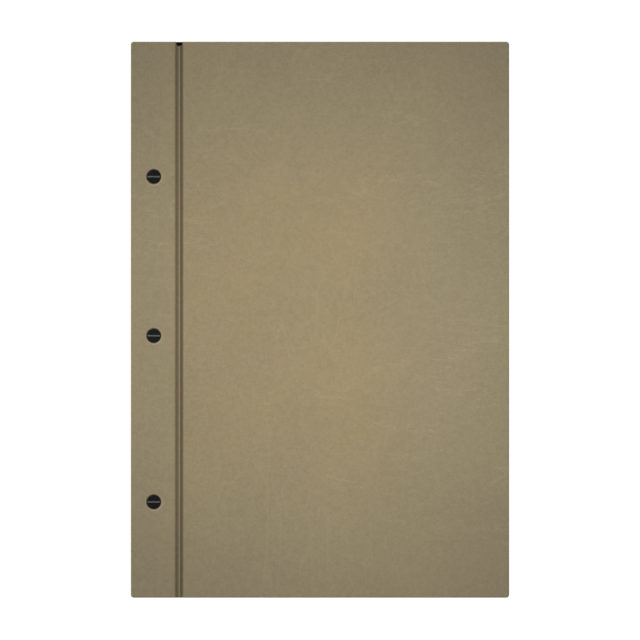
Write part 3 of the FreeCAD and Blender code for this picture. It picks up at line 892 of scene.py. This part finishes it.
def cut_slot(piece, centre, top, head):
    """Cuts a screwdriver slot along X, bevels its lips and gives its floor the worn finish."""
    work = bmesh.new()
    bmesh.ops.create_cube(work, size=1.0)
    for v in work.verts:
        v.co = Vector((
            centre.x + v.co.x * (2 * head + 1 * MM),
            centre.y + v.co.y * SLOT_WIDTH,
            top + v.co.z * 2 * SLOT_DEPTH,
        ))
    mesh = bpy.data.meshes.new("slot_cutter")
    work.to_mesh(mesh)
    work.free()
    cutter = bpy.data.objects.new("slot_cutter", mesh)
    bpy.context.scene.collection.objects.link(cutter)
    boolean = piece.modifiers.new("slot", "BOOLEAN")
    boolean.operation = "DIFFERENCE"
    boolean.solver = "EXACT"
    boolean.object = cutter
    bevel = piece.modifiers.new("lips", "BEVEL")
    bevel.width = SLOT_LIP
    bevel.segments = 2
    bevel.limit_method = "ANGLE"
    bevel.angle_limit = math.radians(50)
    apply_modifiers(piece)
    bpy.data.objects.remove(cutter)
    piece.data.materials.clear()
    piece.data.materials.append(BLACK_METAL)
    piece.data.materials.append(SLOT_METAL)
    for face in piece.data.polygons:
        off = face.center - Vector((centre.x, centre.y, top - SLOT_DEPTH))
        on_floor = abs(off.y) < SLOT_WIDTH * 0.45 and abs(off.z) < 0.05 * MM
        # Floor faces near the slot's ends keep the black metal, painted shade where the slot runs out.
        inside = on_floor and abs(off.x) < head - 0.4 * MM
        face.material_index = 1 if inside else 0


def post(end):
    """A post: smooth rounded head under the rear cover and a hollow barrel up through the leaves."""
    name = f"post_{end}"
    low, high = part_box(name)
    centre = POSTS[end]
    head = (high.x - low.x) / 2
    top_of_head = low.z + HEAD_THICK
    bore_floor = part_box(f"screw_{end}")[0].z - 1.0 * MM
    outline = [(0.0, low.z)]
    outline += [(head * share, low.z + POST_DOME * share ** 2) for share in (0.3, 0.6, 0.8, 0.92)]
    outline += arc_points(head - POST_RIM, low.z + POST_DOME + POST_RIM, POST_RIM, -72, 0, 5)
    outline += [(head, top_of_head - HEAD_BREAK), (head - HEAD_BREAK, top_of_head)]
    outline += [(BARREL + BARREL_BREAK, top_of_head), (BARREL, top_of_head + BARREL_BREAK)]
    outline += [(BARREL, high.z - BARREL_BREAK), (BARREL - BARREL_BREAK, high.z)]
    outline += [(BORE + BARREL_BREAK, high.z), (BORE, high.z - BARREL_BREAK)]
    outline += [(BORE, bore_floor), (0.0, bore_floor)]
    piece = lathe(name + "_turned", outline, centre)
    piece.data.materials.append(BLACK_METAL)
    keep_rest(piece)
    smooth_shade(piece, 30)
    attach(piece, "root")
    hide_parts(name)


# ---------------------------------------------------------------- CAD nodes that stay

def dress_cad():
    """Gives the linings and boards their materials."""
    for name, node in frame["nodes"].items():
        for word, material in (("liner", LINING), ("board", BOARD)):
            if word in name:
                node.data.materials.clear()
                node.data.materials.append(material)


# ---------------------------------------------------------------- stage

def floor():
    """A plain pale floor that glows. It lights the album, and the camera sees the white room through it.

    So the rear cover shows where it swings below the level that the album lies on.
    """
    n = Nodes("floor")
    wide = n.noise(n.here(), 0.4, 2.0)
    color = n.mix(n.span(wide, 0.3, 0.7), rgb(0.42, 0.42, 0.42), rgb(0.44, 0.44, 0.44))
    n.finish(color, 0.9, Emission_Color=rgb(1, 1, 1), Emission_Strength=0.6)
    n.material.cycles.emission_sampling = "NONE"
    half = 5.0
    level = -0.05 * MM
    mesh = bpy.data.meshes.new("floor")
    corners = [(-half, -half, level), (half, -half, level), (half, half, level), (-half, half, level)]
    mesh.from_pydata(corners, [], [(0, 1, 2, 3)])
    mesh.materials.append(n.material)
    piece = bpy.data.objects.new("floor", mesh)
    bpy.context.scene.collection.objects.link(piece)
    piece.visible_camera = False


def lamp(name, kind, place, energy, color, **facts):
    """A lamp that points at the middle of the album."""
    light = bpy.data.lights.new(name, kind)
    light.energy = energy
    light.color = color
    for fact, value in facts.items():
        setattr(light, fact, value)
    piece = bpy.data.objects.new(name, light)
    piece.location = place
    piece.rotation_euler = (Vector((0, 0, THICK)) - Vector(place)).to_track_quat("-Z", "Y").to_euler()
    piece.visible_camera = False
    bpy.context.scene.collection.objects.link(piece)
    return piece


def studio():
    """A soft spot overhead, whose light fades towards the album's edges, and a key from the upper left.

    The room is white where the camera sees it and dim where the album does.
    """
    world = bpy.data.worlds.new("room")
    world.use_nodes = True
    tree = world.node_tree
    background = tree.nodes["Background"]
    background.inputs["Color"].default_value = rgb(1.0, 1.0, 1.0)
    path = tree.nodes.new("ShaderNodeLightPath")
    strength = tree.nodes.new("ShaderNodeMapRange")
    strength.inputs["To Min"].default_value = 0.215
    strength.inputs["To Max"].default_value = 1.05
    tree.links.new(path.outputs["Is Camera Ray"], strength.inputs["Value"])
    tree.links.new(strength.outputs["Result"], background.inputs["Strength"])
    bpy.context.scene.world = world
    overhead = lamp("overhead", "SPOT", (-0.01, 0.0, 1.5), 83.0, (1.0, 0.985, 0.965),
                    spot_size=math.radians(25), spot_blend=1.0, shadow_soft_size=0.16)
    overhead.visible_glossy = False
    lamp("key", "SUN", (-0.60, 0.60, 0.62), 1.05, (1.0, 1.0, 1.0), angle=math.radians(14))
    bpy.context.scene.view_settings.view_transform = "Standard"


def camera():
    """Looks straight down from far away, so that the album is seen with no perspective."""
    frame_width = 0.4239
    middle_y = -0.0002
    distance = 8.0
    data = bpy.data.cameras.new("camera")
    data.sensor_width = 36.0
    data.lens = data.sensor_width * distance / frame_width
    data.clip_start = 0.1
    data.clip_end = 100.0
    piece = bpy.data.objects.new("camera", data)
    piece.location = (0.0, middle_y, THICK + distance)
    bpy.context.scene.collection.objects.link(piece)
    bpy.context.scene.camera = piece


# ---------------------------------------------------------------- the album

camera()
studio()
floor()
dress_cad()
for side in ("front", "rear"):
    for part in ("strip", "cover"):
        skin(side, part)
        hinge_cloth(side, part)
for number in range(1, LEAF_COUNT + 1):
    leaf(number)
for end in POST_ENDS:
    screw(end)
    post(end)
